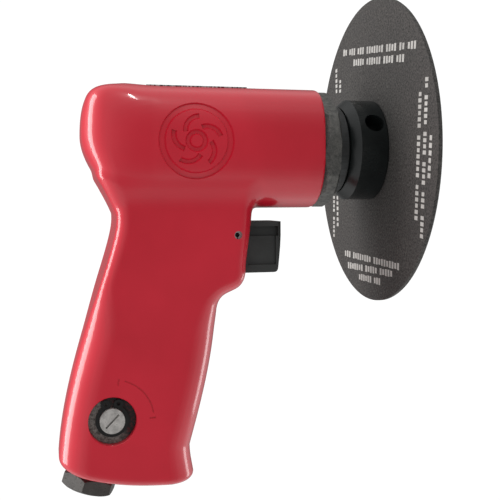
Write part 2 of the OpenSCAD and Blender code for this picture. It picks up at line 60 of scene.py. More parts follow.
def span(node):
    """A CAD node's box in millimetres, as (low, high) for x, y and z."""
    low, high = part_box(node)
    return [(low[i] / MM, high[i] / MM) for i in range(3)]


# ---------------------------------------------------------------- node materials

def new_material(name):
    """An empty node material with its Principled shader and object coordinates."""
    mat = bpy.data.materials.new(name)
    mat.use_nodes = True
    nodes, links = mat.node_tree.nodes, mat.node_tree.links
    shader = nodes["Principled BSDF"]
    coords = nodes.new("ShaderNodeTexCoord").outputs["Object"]
    return mat, nodes, links, shader, coords


def noise(nodes, links, coords, per_mm, detail=3.0, roughness=0.5):
    """Noise with about per_mm features in a millimetre."""
    tex = nodes.new("ShaderNodeTexNoise")
    tex.inputs["Scale"].default_value = per_mm / MM
    tex.inputs["Detail"].default_value = detail
    tex.inputs["Roughness"].default_value = roughness
    links.new(coords, tex.inputs["Vector"])
    return tex.outputs["Fac"]


def stretched(nodes, links, coords, scale):
    """Coordinates scaled unevenly, so that noise on them turns into streaks."""
    mapping = nodes.new("ShaderNodeMapping")
    mapping.inputs["Scale"].default_value = scale
    links.new(coords, mapping.inputs["Vector"])
    return mapping.outputs["Vector"]


def ramp(nodes, links, value, low, high, to_low=0.0, to_high=1.0):
    """value taken from the range low..high to the range to_low..to_high."""
    node = nodes.new("ShaderNodeMapRange")
    for socket, number in zip(node.inputs[1:5], (low, high, to_low, to_high)):
        socket.default_value = number
    links.new(value, node.inputs["Value"])
    return node.outputs["Result"]


def maths(nodes, links, operation, a, b):
    """A maths node on two inputs. Each is a number or another node's output."""
    node = nodes.new("ShaderNodeMath")
    node.operation = operation
    for socket, value in zip(node.inputs, (a, b)):
        if isinstance(value, (int, float)):
            socket.default_value = value
        else:
            links.new(value, socket)
    return node.outputs["Value"]


def with_vector(nodes, links, operation, value, constant):
    """A vector maths node on another node's output and a constant vector."""
    node = nodes.new("ShaderNodeVectorMath")
    node.operation = operation
    links.new(value, node.inputs[0])
    node.inputs[1].default_value = constant
    return node.outputs


def mixed(nodes, links, fac, a, b):
    """Colour a where fac is 0 and b where it is 1. Each is a colour or another node's output."""
    node = nodes.new("ShaderNodeMix")
    node.data_type = "RGBA"
    links.new(fac, node.inputs["Factor"])
    for socket, value in ((node.inputs["A"], a), (node.inputs["B"], b)):
        if isinstance(value, tuple):
            socket.default_value = (*value, 1)
        else:
            links.new(value, socket)
    return node.outputs["Result"]


def bump(nodes, links, shader, height, depth_mm, strength=1.0):
    """Bump of depth_mm, laid over any bump that the shader already has."""
    node = nodes.new("ShaderNodeBump")
    node.inputs["Strength"].default_value = strength
    node.inputs["Distance"].default_value = depth_mm * MM
    links.new(height, node.inputs["Height"])
    before = shader.inputs["Normal"].links
    if before:
        links.new(before[0].from_socket, node.inputs["Normal"])
    links.new(node.outputs["Normal"], shader.inputs["Normal"])


def shade(colour, factor):
    return tuple(min(1.0, c * factor) for c in colour)


def general_finish(name, colour, metal=0.0, rough=0.4, spread=0.1, vary=0.15, grain=2.0,
                   depth=0.01, streak=(1, 1, 1), specular=0.5):
    """A finish with cloudy colour, uneven gloss and a fine relief.

    vary is how far the colour swings, spread how far the roughness does, grain the relief's features
    in a millimetre, and streak stretches all of it along an axis, as turning or drawing marks do."""
    mat, nodes, links, shader, coords = new_material(name)
    marks = stretched(nodes, links, coords, streak)
    cloud = noise(nodes, links, coords, 0.12, 4.0)
    fine = noise(nodes, links, marks, grain, 3.0, 0.6)
    tone = mixed(nodes, links, ramp(nodes, links, cloud, 0.3, 0.7),
                 shade(colour, 1 - vary), shade(colour, 1 + vary))
    tone = mixed(nodes, links, ramp(nodes, links, fine, 0.45, 0.8, 0.0, 2 * vary),
                 tone, shade(colour, 0.5))
    links.new(tone, shader.inputs["Base Color"])
    links.new(ramp(nodes, links, fine, 0.3, 0.7, rough - spread, rough + spread),
              shader.inputs["Roughness"])
    bump(nodes, links, shader, fine, depth)
    shader.inputs["Metallic"].default_value = metal
    shader.inputs["Specular IOR Level"].default_value = specular
    return mat


def red_paint():
    """Semi-gloss enamel on a casting: a faint orange peel, and slightly deeper colour in patches."""
    mat, nodes, links, shader, coords = new_material("red_paint")
    cloud = noise(nodes, links, coords, 0.03, 3.0)
    peel = noise(nodes, links, coords, 0.55, 2.0, 0.4)
    specks = noise(nodes, links, coords, 5.0, 2.0, 0.6)
    tone = mixed(nodes, links, ramp(nodes, links, cloud, 0.35, 0.65), PAINT_DEEP, PAINT_BRIGHT)
    tone = mixed(nodes, links, ramp(nodes, links, specks, 0.68, 0.8, 0, 0.35), tone, PAINT_SPECK)
    links.new(tone, shader.inputs["Base Color"])
    links.new(ramp(nodes, links, cloud, 0.3, 0.7, 0.30, 0.38), shader.inputs["Roughness"])
    bump(nodes, links, shader, peel, 0.012, 0.6)
    bump(nodes, links, shader, specks, 0.002, 0.5)
    shader.inputs["Specular IOR Level"].default_value = 0.22
    shader.inputs["Coat Weight"].default_value = 0.70
    shader.inputs["Coat Roughness"].default_value = 0.09
    return mat


def black_oxide_nut():
    """Rough blackened iron: dark pits, lighter rubbed patches, and worn high spots."""
    mat, nodes, links, shader, coords = new_material("black_oxide_nut")
    patches = noise(nodes, links, coords, 0.6, 6.0, 0.7)
    pits = noise(nodes, links, coords, 2.2, 4.0, 0.7)
    tone = mixed(nodes, links, ramp(nodes, links, patches, 0.36, 0.66), NUT_DARK, NUT_WORN)
    tone = mixed(nodes, links, ramp(nodes, links, pits, 0.5, 0.7, 0, 0.75), tone, NUT_PIT)
    links.new(tone, shader.inputs["Base Color"])
    links.new(ramp(nodes, links, patches, 0.3, 0.7, 0.62, 0.42), shader.inputs["Roughness"])
    bump(nodes, links, shader, patches, 0.10, 0.5)
    bump(nodes, links, shader, pits, 0.05, 0.6)
    shader.inputs["Metallic"].default_value = 0.55
    return mat


def pad_fibre():
    """Pressed fibre board: a fine dark grain with sparse lighter fibres and a faint sheen."""
    mat, nodes, links, shader, coords = new_material("pad_fibre")
    grain = noise(nodes, links, coords, 1.2, 4.0, 0.7)
    fibre = noise(nodes, links, stretched(nodes, links, coords, (1, 0.35, 1)), 2.4, 2.0, 0.5)
    cloud = noise(nodes, links, coords, 0.05, 2.0)
    tone = mixed(nodes, links, ramp(nodes, links, grain, 0.35, 0.65), PAD_DARK, PAD_LIGHT)
    tone = mixed(nodes, links, ramp(nodes, links, fibre, 0.60, 0.72, 0, 0.5), tone, PAD_FIBRE)
    tone = mixed(nodes, links, ramp(nodes, links, cloud, 0.3, 0.7, 0.0, 0.25), tone, PAD_CLOUD)
    links.new(tone, shader.inputs["Base Color"])
    links.new(ramp(nodes, links, grain, 0.3, 0.7, 0.78, 0.60), shader.inputs["Roughness"])
    bump(nodes, links, shader, grain, 0.05, 0.5)
    shader.inputs["Specular IOR Level"].default_value = 0.30
    return mat


def turned_steel():
    """The regulator stem's turned end: fine concentric tool marks, with a little staining."""
    mat, nodes, links, shader, coords = new_material("regulator_steel")
    shifted = with_vector(nodes, links, "SUBTRACT", coords, tuple(c * MM for c in REGULATOR_POS))["Vector"]
    flat = with_vector(nodes, links, "MULTIPLY", shifted, (1.0, 0.0, 1.0))["Vector"]
    radius = with_vector(nodes, links, "LENGTH", flat, (0, 0, 0))["Value"]
    turns = maths(nodes, links, "MULTIPLY", radius, TOOL_MARKS_PER_MM * 2 * math.pi / MM)
    marks = maths(nodes, links, "SINE", turns, 0)
    stain = noise(nodes, links, coords, 0.5, 4.0, 0.6)
    links.new(mixed(nodes, links, ramp(nodes, links, stain, 0.35, 0.7), shade(STEM_STEEL, 1.15),
                    shade(STEM_STEEL, 0.62)), shader.inputs["Base Color"])
    links.new(ramp(nodes, links, stain, 0.3, 0.7, 0.24, 0.46), shader.inputs["Roughness"])
    bump(nodes, links, shader, marks, 0.012, 0.5)
    shader.inputs["Metallic"].default_value = 0.35
    return mat


def shaded_washer():
    """Mottled worn steel, with painted shade towards +X and +Z that is streaked with a painted dark red
    reflection of the red paint.
    """
    mat, nodes, links, shader, coords = new_material("washer_steel")
    mottle = noise(nodes, links, coords, 0.8, 4.0, 0.65)
    fine = noise(nodes, links, coords, 2.5, 3.0, 0.6)
    towards_shade = with_vector(nodes, links, "DOT_PRODUCT", coords, SHADE_DIRECTION)["Value"]
    middle = sum(a * b for a, b in zip(SHADE_DIRECTION, REGULATOR_POS))
    # painted shade: a ramp that darkens the washer towards +X and +Z of the stem
    painted_shade = ramp(nodes, links, towards_shade, *((middle + edge) * MM for edge in SHADE_EDGE))
    tone = mixed(nodes, links, ramp(nodes, links, mottle, 0.35, 0.65), WASHER_DARK, WASHER_LIGHT)
    tone = mixed(nodes, links, ramp(nodes, links, fine, 0.5, 0.7, 0, 0.7), tone, WASHER_SPECK)
    # painted shade, mottled with a dark red painted reflection of the red paint
    shade_tone = mixed(nodes, links, ramp(nodes, links, mottle, 0.5, 0.6), PAINTED_SHADE_DARK, PAINTED_RED_REFLECTION)
    links.new(mixed(nodes, links, painted_shade, tone, shade_tone), shader.inputs["Base Color"])
    links.new(ramp(nodes, links, mottle, 0.3, 0.7, 0.62, 0.38), shader.inputs["Roughness"])
    bump(nodes, links, shader, mottle, 0.08, 0.6)
    shader.inputs["Metallic"].default_value = 0.5
    return mat


def printed_foil():
    """Black foil with rows of plain silver marks along it."""
    mat, nodes, links, shader, coords = new_material("nameplate_foil")
    split = nodes.new("ShaderNodeSeparateXYZ")
    links.new(coords, split.inputs["Vector"])
    across = maths(nodes, links, "PINGPONG", split.outputs["Y"], FOIL_ROW / 2 * MM)
    row = ramp(nodes, links, across, 0.24 * FOIL_ROW * MM, 0.28 * FOIL_ROW * MM)
    breaks = noise(nodes, links, stretched(nodes, links, coords, (1, 0, 0)), 0.7, 4.0, 0.8)
    ink = maths(nodes, links, "MULTIPLY", row, ramp(nodes, links, breaks, 0.49, 0.51))
    links.new(mixed(nodes, links, ink, FOIL_BLACK, FOIL_SILVER), shader.inputs["Base Color"])
    links.new(ramp(nodes, links, ink, 0, 1, 0.40, 0.25), shader.inputs["Roughness"])
    bump(nodes, links, shader, ink, 0.01, 0.5)
    shader.inputs["Metallic"].default_value = 0.6
    return mat


FOIL_ROW = 3.0                   # pitch of the nameplate's rows of marks
FOIL_BLACK, FOIL_SILVER = (0.014, 0.014, 0.015), (0.55, 0.55, 0.54)
# direction in which the washer's painted shade deepens
SHADE_DIRECTION = (0.88, 0.0, 0.47)
SHADE_EDGE = (-1.5, 3.5)         # where the washer's painted shade begins and is full, along that direction from the stem
WASHER_DARK, WASHER_LIGHT, WASHER_SPECK = (0.085, 0.078, 0.070), (0.27, 0.25, 0.23), (0.03, 0.03, 0.028)
# painted shade on the washer, and a dark red painted reflection of the red paint
PAINTED_SHADE_DARK, PAINTED_RED_REFLECTION = (0.018, 0.017, 0.017), (0.075, 0.014, 0.016)
STEM_STEEL = (0.47, 0.45, 0.43)
TOOL_MARKS_PER_MM = 2.6
NUT_DARK, NUT_WORN, NUT_PIT = (0.075, 0.075, 0.072), (0.150, 0.147, 0.136), (0.012, 0.012, 0.012)
PAD_DARK, PAD_LIGHT = (0.010, 0.009, 0.009), (0.078, 0.073, 0.068)
PAD_FIBRE, PAD_CLOUD = (0.13, 0.125, 0.12), (0.03, 0.03, 0.03)
PAINT_DEEP = (0.50, 0.008, 0.023)
PAINT_BRIGHT = (0.56, 0.010, 0.028)
PAINT_SPECK = (0.50, 0.05, 0.06)
TURNED_ALONG_X = (0.04, 1, 1)

# Plain finishes of the record's material slots, as arguments of general_finish
FINISHES = {
    "black_rubber": dict(colour=(0.012, 0.012, 0.012), rough=0.62, grain=3.0, depth=0.02),
    "bearing_steel": dict(colour=(0.55, 0.56, 0.58), metal=1.0, rough=0.18, spread=0.06, depth=0.002),
    "cage_polymer": dict(colour=(0.55, 0.42, 0.20), rough=0.45, vary=0.2, grain=3.0, depth=0.01),
    "rotor_steel": dict(colour=(0.40, 0.41, 0.43), metal=1.0, rough=0.28, streak=TURNED_ALONG_X),
    "vane_laminate": dict(colour=(0.22, 0.11, 0.05), rough=0.55, vary=0.3, streak=(1, 0.1, 1)),
    "liner_iron": dict(colour=(0.30, 0.30, 0.31), metal=0.9, rough=0.35, streak=TURNED_ALONG_X),
    "end_plate_iron": dict(colour=(0.25, 0.25, 0.26), metal=0.9, rough=0.4, streak=TURNED_ALONG_X),
    "felt": dict(colour=(0.62, 0.54, 0.40), rough=0.92, spread=0.05, vary=0.25, grain=4.0, depth=0.12),
    "zinc_steel": dict(colour=(0.60, 0.60, 0.57), metal=1.0, rough=0.30, vary=0.12, grain=2.0),
    "black_screw": dict(colour=(0.020, 0.020, 0.020), metal=0.7, rough=0.35, grain=2.5),
    "brass": dict(colour=(0.75, 0.52, 0.22), metal=1.0, rough=0.28, streak=TURNED_ALONG_X),
    "spring_steel": dict(colour=(0.50, 0.50, 0.50), metal=1.0, rough=0.30, grain=4.0, depth=0.006),
    "spring_black": dict(colour=(0.016, 0.016, 0.016), metal=0.5, rough=0.38, grain=3.0, depth=0.012),
    "screen_mesh": dict(colour=(0.35, 0.35, 0.34), metal=0.9, rough=0.4, grain=6.0, depth=0.1),
    "silencer_felt": dict(colour=(0.46, 0.41, 0.31), rough=0.95, spread=0.04, vary=0.3, grain=4.0,
                          depth=0.15),
    "exhaust_black": dict(colour=(0.030, 0.030, 0.030), metal=0.6, rough=0.42, grain=2.5, depth=0.015),
    "hub_steel": dict(colour=(0.010, 0.012, 0.012), metal=0.2, rough=0.22, spread=0.06, vary=0.25,
                      grain=1.8, depth=0.008, streak=TURNED_ALONG_X, specular=0.4),
    "dark_steel": dict(colour=(0.050, 0.052, 0.052), metal=0.7, rough=0.36, spread=0.1, vary=0.3,
                       grain=1.6, depth=0.02, streak=TURNED_ALONG_X),
    "trigger_plastic": dict(colour=(0.031, 0.033, 0.032), rough=0.42, spread=0.08, vary=0.18, grain=3.5,
                            depth=0.018, specular=0.45),
    "inlet_steel": dict(colour=(0.060, 0.056, 0.052), metal=0.5, rough=0.34, spread=0.12, vary=0.35,
                        grain=0.9, depth=0.03),
    "print_white": dict(colour=(0.40, 0.39, 0.37), rough=0.7, grain=3.0, depth=0.004),
}
REGULATOR_POS = (-111.9, 0.0, -103.7)

materials = {slot: general_finish(slot, **values) for slot, values in FINISHES.items()}
materials["red_paint"] = red_paint()
materials["black_oxide_nut"] = black_oxide_nut()
materials["pad_fibre"] = pad_fibre()
materials["washer_steel"] = shaded_washer()
materials["nameplate_foil"] = printed_foil()
materials["regulator_steel"] = turned_steel()


# ---------------------------------------------------------------- mesh tools

def smooth_shading(obj, angle):
    """Smooth shading with edges over the angle kept sharp."""
    mesh = obj.data
    mesh.polygons.foreach_set("use_smooth", [True] * len(mesh.polygons))
    mesh.set_sharp_from_angle(angle=math.radians(angle))


def soften(obj, width, angle):
    """Rounds the edges that are sharper than the angle, so that they catch the light."""
    edge = obj.modifiers.new("edge_round", "BEVEL")
    edge.width = width * MM
    edge.segments = 3
    edge.limit_method = "ANGLE"
    edge.angle_limit = math.radians(angle)
    edge.harden_normals = False
    obj.data.polygons.foreach_set("use_smooth", [True] * len(obj.data.polygons))
    even_normals(obj)


def even_normals(obj):
    normals = obj.modifiers.new("even_normals", "WEIGHTED_NORMAL")
    normals.keep_sharp = True


def mesh_object(name, points, faces, matrix=None):
    """A mesh object from points in millimetres, placed by a matrix that is in millimetres too."""
    mesh = bpy.data.meshes.new(name)
    mesh.from_pydata([tuple(p) for p in points], [], [tuple(f) for f in faces])
    mesh.transform(Matrix.Scale(MM, 4) @ (matrix or Matrix.Identity(4)))
    mesh.validate()
    work = bmesh.new()
    work.from_mesh(mesh)
    bmesh.ops.recalc_face_normals(work, faces=work.faces)
    work.to_mesh(mesh)
    work.free()
    obj = bpy.data.objects.new(name, mesh)
    bpy.context.scene.collection.objects.link(obj)
    return obj


def lathe(name, profile, matrix, segments=96):
    """Turns a profile of (station, radius) points about local Z. It starts and ends on the axis."""
    points, rows = [], []
    for station, radius in profile:
        count = 1 if radius == 0 else segments
        rows.append([len(points) + i for i in range(count)])
        for i in range(count):
            a = 2 * math.pi * i / segments
            points.append((radius * math.cos(a), radius * math.sin(a), station))
    faces = []
    for a, b in zip(rows, rows[1:]):
        for i in range(segments):
            j = (i + 1) % segments
            corners = [a[i % len(a)], a[j % len(a)], b[j % len(b)], b[i % len(b)]]
            faces.append(list(dict.fromkeys(corners)))
    return mesh_object(name, points, faces, matrix)


def box(name, x, y, z):
    """A box from low to high on each axis."""
    outline = [(x[0], y[0]), (x[1], y[0]), (x[1], y[1]), (x[0], y[1])]
    points = [(px, py, pz) for pz in z for px, py in outline]
    faces = [[3, 2, 1, 0], [4, 5, 6, 7]]
    faces += [[i, (i + 1) % 4, 4 + (i + 1) % 4, 4 + i] for i in range(4)]
    return mesh_object(name, points, faces)


def cut(obj, *cutters):
    """Cuts solids from obj, one after the other, and removes them."""
    for cutter in cutters:
        step = obj.modifiers.new("cut", "BOOLEAN")
        step.object = cutter
        step.operation = "DIFFERENCE"
        step.solver = "MANIFOLD"
        graph = bpy.context.evaluated_depsgraph_get()
        result = bpy.data.meshes.new_from_object(obj.evaluated_get(graph))
        obj.modifiers.remove(step)
        obj.data = result
        bpy.data.objects.remove(cutter)


def finish_piece(obj, slot, body, replaced=()):
    """Gives a piece its material and its body, and hides the CAD nodes that it stands for."""
    obj.data.materials.clear()
    obj.data.materials.append(materials[slot])
    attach(obj, body)
    if replaced:
        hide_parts(*replaced)


ALONG_X = Matrix.Rotation(math.radians(90), 4, "Y")           # local Z becomes +X
ALONG_Y = Matrix.Rotation(math.radians(-90), 4, "X")          # local Z becomes +Y


def at(x, y, z):
    return Matrix.Translation((x, y, z))


# ---------------------------------------------------------------- housing as a distance field

BARREL_HALF_WIDTH = 24.0
BARREL_TOP, BARREL_BOTTOM = 24.1, 24.1
TOP_SWELL, SWELL_X, SWELL_LENGTH = 0.7, -108.0, 9.0        # low hump behind the nameplate
BARREL_TOP_POWER, BARREL_BOTTOM_POWER = 3.1, 2.35
BARREL_FRONT = span("nut_gasket")[0][0]
BLEND = 5.0                      # fillet between the barrel and the handle
REAR_EDGE_BLEND, REAR_PLAN_BLEND = 5.0, 8.0                # how wide the rear end's edges are smoothed
FRONT_EDGE_ROUND = 0.7
TRIGGER_HALF_WIDTH, GRIP_HALF_WIDTH = 18.0, 16.6
TRIGGER_EDGE_ROUND, GRIP_EDGE_ROUND, FOOT_EDGE_ROUND = 5.0, 12.0, 3.0


def bezier(a, b, c, d, steps=40):
    t = np.linspace(0, 1, steps + 1)[:, None]
    a, b, c, d = (np.array(p, float) for p in (a, b, c, d))
    return (1 - t) ** 3 * a + 3 * (1 - t) ** 2 * t * b + 3 * (1 - t) * t ** 2 * c + t ** 3 * d


def outline_distance(u, v, outline):
    """Signed distance from points (u, v) to a closed outline, negative inside."""
    flat = np.stack([np.ravel(u), np.ravel(v)], 1)
    best = np.full(len(flat), np.inf)
    inside = np.zeros(len(flat), bool)
    for p, q in zip(outline, np.roll(outline, -1, 0)):
        edge = q - p
        length = edge @ edge
        if length < 1e-12:
            continue
        offset = flat - p
        t = np.clip(offset @ edge / length, 0, 1)
        best = np.minimum(best, ((offset - t[:, None] * edge) ** 2).sum(1))
        if p[1] != q[1]:
            spans = (p[1] > flat[:, 1]) != (q[1] > flat[:, 1])
            crossing = p[0] + (flat[:, 1] - p[1]) * edge[0] / edge[1]
            inside ^= spans & (flat[:, 0] < crossing)
    return (np.where(inside, -1, 1) * np.sqrt(best)).reshape(np.shape(u))


def rounded_and(a, b, radius):
    """Intersection of two distance fields with a rounded edge."""
    return (np.minimum(np.maximum(a, b) + radius, 0) - radius
            + np.hypot(np.maximum(a + radius, 0), np.maximum(b + radius, 0)))


def smooth_and(a, b, width):
    """Intersection that stays smooth where the two surfaces meet at a shallow angle."""
    return np.maximum(a, b) + np.maximum(width - np.abs(a - b), 0) ** 2 / (4 * width)


def filleted_or(a, b, radius):
    """Union of two distance fields with a fillet."""
    return -rounded_and(-a, -b, radius)


barrel_side = np.concatenate([
    [(-20, 40), (-110, 40), (-110, 27)],
    bezier((-110, 27), (-121.5, 25.3), (-124.0, 14), (-124, 5)),
    bezier((-124, 4.5), (-124, -5), (-110.2, -15.5), (-109.8, -28.5)),
    [(-109.8, -40), (-20, -40)]])
barrel_plan = np.concatenate([
    [(-20, 40), (-99, 40)],
    bezier((-99, 27.5), (-110, 25.5), (-125.6, 17), (-125.6, 4)),
    bezier((-125.6, -4), (-125.6, -17), (-110, -25.5), (-99, -27.5)),
    [(-99, -40), (-20, -40)]])
handle_side = np.concatenate([
    bezier((-115, -12), (-110.2, -19), (-109.8, -24), (-109.8, -28.5), 16),
    bezier((-109.8, -28.5), (-109.8, -41), (-131.3, -88), (-131.6, -124)),
    [(-131.6, -140), (-79.4, -140)],
    bezier((-79.4, -128), (-79.9, -125), (-80.9, -121), (-80.9, -117), 12),
    bezier((-80.9, -117), (-77.2, -104), (-70.8, -82), (-70.4, -63.6)),
    bezier((-70.4, -63.6), (-69.8, -54.2), (-60.8, -59.6), (-59.6, -49.5), 24),
    bezier((-59.5, -46), (-58.2, -35), (-56.8, -29), (-56.3, -12), 24)])
foot_side = np.concatenate([
    [(-40, 0), (-150, 0), (-150, -113.5)],
    bezier((-131.9, -121.8), (-113, -129.2), (-100, -130.2), (-81.5, -130.2)),
    [(-40, -130.2)]])


def ease(value, low, high):
    """0 below low, 1 above high, and smooth between them."""
    t = np.clip((value - low) / (high - low), 0, 1)
    return t * t * (3 - 2 * t)


def barrel_field(x, y, z, side, plan):
    power = np.where(z > 0, BARREL_TOP_POWER, BARREL_BOTTOM_POWER)
    swell = TOP_SWELL * np.exp(-((x - SWELL_X) / SWELL_LENGTH) ** 2)
    height = np.where(z > 0, BARREL_TOP + swell, BARREL_BOTTOM)
    reach = ((np.abs(y) / BARREL_HALF_WIDTH) ** power + (np.abs(z) / height) ** power) ** (1 / power)
    radius = np.hypot(y, z)
    section = radius - radius / np.maximum(reach, 1e-6)
    shell = smooth_and(smooth_and(section, side, REAR_EDGE_BLEND), plan, REAR_PLAN_BLEND)
    return rounded_and(shell, x - BARREL_FRONT, FRONT_EDGE_ROUND)


def handle_field(x, y, z, side, foot):
    half = GRIP_HALF_WIDTH + (TRIGGER_HALF_WIDTH - GRIP_HALF_WIDTH) * ease(z, -80, -35)
    edge = TRIGGER_EDGE_ROUND + (GRIP_EDGE_ROUND - TRIGGER_EDGE_ROUND) * (1 - ease(z, -74, -50))
    shell = rounded_and(side, np.abs(y) - half, edge)
    return rounded_and(shell, foot, FOOT_EDGE_ROUND)


def housing_field(x, y, z, flat_fields=None):
    """Signed distance to the housing. flat_fields are the outlines' distances if they are known already."""
    side, plan, handle, foot = flat_fields or (
        outline_distance(x, z, barrel_side), outline_distance(x, y, barrel_plan),
        outline_distance(x, z, handle_side), outline_distance(x, z, foot_side))
    return filleted_or(barrel_field(x, y, z, side, plan), handle_field(x, y, z, handle, foot), BLEND)


def surface_net(field, low, step):
    """Quads on the zero surface of a sampled field: one vertex in each cell that the surface passes."""
    inside = field < 0
    shape = np.array(field.shape) - 1
    corner = [(i, j, k) for i in (0, 1) for j in (0, 1) for k in (0, 1)]

    def shifted(data, c):
        return data[c[0]:c[0] + shape[0], c[1]:c[1] + shape[1], c[2]:c[2] + shape[2]]

    total = np.zeros((*shape, 3))
    count = np.zeros(shape)
    for a in corner:
        for axis in range(3):
            if a[axis]:
                continue
            b = tuple(v + (i == axis) for i, v in enumerate(a))
            fa, fb = shifted(field, a), shifted(field, b)
            crosses = shifted(inside, a) != shifted(inside, b)
            t = np.where(crosses, fa / np.where(crosses, fa - fb, 1), 0)
            place = np.array(a, float) + np.zeros((*shape, 3))
            place[..., axis] += t
            total += place * crosses[..., None]
            count += crosses
    used = count > 0
    index = np.full(shape, -1)
    index[used] = np.arange(used.sum())
    cells = np.argwhere(used)
    points = low + step * (cells + total[used] / count[used][:, None])
    quads = []
    for axis in range(3):
        u, v = [i for i in range(3) if i != axis]
        first = inside.take(range(inside.shape[axis] - 1), axis)
        second = inside.take(range(1, inside.shape[axis]), axis)
        edges = np.argwhere(first != second)
        turned = first[tuple(edges.T)]
        ring = []
        for du, dv in ((0, 0), (1, 0), (1, 1), (0, 1)):
            cell = edges.copy()
            cell[:, u] -= du
            cell[:, v] -= dv
            ring.append(index[tuple(cell.T)])
        ring = np.stack(ring, 1)
        flip = turned if axis != 1 else ~turned
        ring[flip] = ring[flip][:, ::-1]
        quads.append(ring)
    return points, np.concatenate(quads)


GRID_LOW, GRID_HIGH = (-134.0, -26.0, -132.0), (-28.0, 26.0, 26.0)
GRID_STEP, QUICK_STEP = 0.8, 1.4
NEWTON_STEPS = 3                 # moves of the net's points onto the exact surface


def housing_shell():
    """The uncut housing as a smooth closed mesh."""
    step = GRID_STEP
    low, high = np.array(GRID_LOW), np.array(GRID_HIGH)
    xs, ys, zs = (np.arange(low[i], high[i] + step, step) for i in range(3))
    x, y, z = np.meshgrid(xs, ys, zs, indexing="ij")
    xz = np.meshgrid(xs, zs, indexing="ij")
    xy = np.meshgrid(xs, ys, indexing="ij")
    flat_fields = (
        outline_distance(*xz, barrel_side)[:, None, :], outline_distance(*xy, barrel_plan)[:, :, None],
        outline_distance(*xz, handle_side)[:, None, :], outline_distance(*xz, foot_side)[:, None, :])
    field = housing_field(x, y, z, flat_fields)
    points, quads = surface_net(field, low, step)
    slope = np.stack(np.gradient(field, step), -1)
    for _ in range(NEWTON_STEPS):
        cell = np.clip(((points - low) / step).astype(int), 0, np.array(field.shape) - 2)
        part = (points - low) / step - cell
        normal = 0
        for c in [(i, j, k) for i in (0, 1) for j in (0, 1) for k in (0, 1)]:
            weight = np.prod(np.where(c, part, 1 - part), 1)
            normal = normal + weight[:, None] * slope[tuple((cell + c).T)]
        normal /= np.linalg.norm(normal, axis=1)[:, None]
        points = points - housing_field(*points.T)[:, None] * normal
    return mesh_object("housing_shell", points, quads)


# ---------------------------------------------------------------- cuts in the housing

OUTSIDE = 30.0                   # well past any side of the housing
MOTOR_BORE_R, MOTOR_BORE_REAR = 19.0, -101.0
NUT_THREAD_R = 20.5
TRIGGER_POCKET = ((-72.5, -30), (-8.8, 8.8), (-50.3, -29.2))
VALVE_BORE_R, VALVE_BORE_X, VALVE_Z = 7.0, (-97.0, -72.0), -40.0
HANDLE_PIN, PIN_R = (-63.4, -34.5), 1.6
NAMEPLATE_RECESS = ((-98.2, -57.8), (-11, 11), (23.3, 30))
EXHAUST_X, EXHAUST_Z, EXHAUST_R = -95.0, (-135, -103), 8.5
EXHAUST_GROOVE_Z, EXHAUST_GROOVE_R = (-129, -128), 9.1
INLET_THREAD_R, INLET_THREAD_Z = 8.2, (-40, -11)
REGULATOR_FLOOR, REGULATOR_FAR_FLOOR = -13.0, 12.5
REGULATOR_BORE_R, RECESS_R, FAR_RECESS_R = 4.75, 9.0, 8.0
MOUTH_FLARE, MOUTH_Y = 0.6, (-17.0, -16.2)                 # widening at the near recess's mouth

MEDALLION, MEDALLION_DEPTH = (-80.6, 1.5), 0.75
MEDALLION_RING, MEDALLION_HUB = (11.7, 14.5), (2.2, 4.4)   # radii of its two sunk rings
STROKES, STROKE_OFFSET, STROKE_RADII = 5, 4.0, (4.4, 6.6)
STROKE_ANGLES = (20, 112)
SCALE_DEPTH, SCALE_SLOPE = 0.3, 0.2
# Radii and angles of the grooves in the regulator's scale: an arc, with a plain tick past each end
SCALE_GROOVES = [((15.3, 15.85), (9, 73)), ((13.6, 16.0), (80.2, 82.2)), ((13.9, 16.3), (1.0, 3.0))]


def rod(name, radius, low, high, matrix, segments=96):
    return lathe(name, [(low, 0), (low, radius), (high, radius), (high, 0)], matrix, segments)


def rod_x(name, radius, low, high, z=0):
    return rod(name, radius, low, high, at(0, 0, z) @ ALONG_X)


def rod_y(name, x, z, radius, low, high, segments=64):
    return rod(name, radius, low, high, at(x, 0, z) @ ALONG_Y, segments)


def side_surface(x, z):
    """Half width of the housing's side at (x, z), found by halving an interval."""
    low, high = np.zeros_like(x), np.full_like(x, BARREL_HALF_WIDTH + 4)
    for _ in range(24):
        middle = (low + high) / 2
        outside = housing_field(x, middle, z) > 0
        low, high = np.where(outside, low, middle), np.where(outside, middle, high)
    return (low + high) / 2


def arc_groove(name, centre, radii, angles, depth, side=-1, slope=0.7):
    """Cutter for a groove between two arcs on the housing's side, which follows that side's shape.

    slope is how far a wall leans out for each millimetre of height, so that it catches the light."""
    lift = 1.5                   # how far the cutter stands out of the surface
    start, end = angles
    whole = end - start == 360
    turn = np.radians(np.linspace(start, end, max(3, round((end - start) / 4) + 1)))
    turn = (turn[:-1] if whole else turn)[:, None]
    lean = np.array([depth, depth, -lift, -lift]) * slope
    radius = np.array([radii[0], radii[1], radii[1], radii[0]]) + lean * np.array([1, -1, -1, 1])
    x, z = centre[0] + radius * np.cos(turn), centre[1] + radius * np.sin(turn)
    y = side * (side_surface(x, z) + np.array([-depth, -depth, lift, lift]))
    count = len(turn)
    faces = []
    for i in range(count if whole else count - 1):
        here, there = 4 * i, 4 * ((i + 1) % count)
        faces += [[here + c, there + c, there + (c + 1) % 4, here + (c + 1) % 4] for c in range(4)]
    if not whole:
        faces += [[0, 1, 2, 3], [4 * (count - 1) + c for c in range(4)]]
    return mesh_object(name, np.stack([x, y, z], -1).reshape(-1, 3), faces)


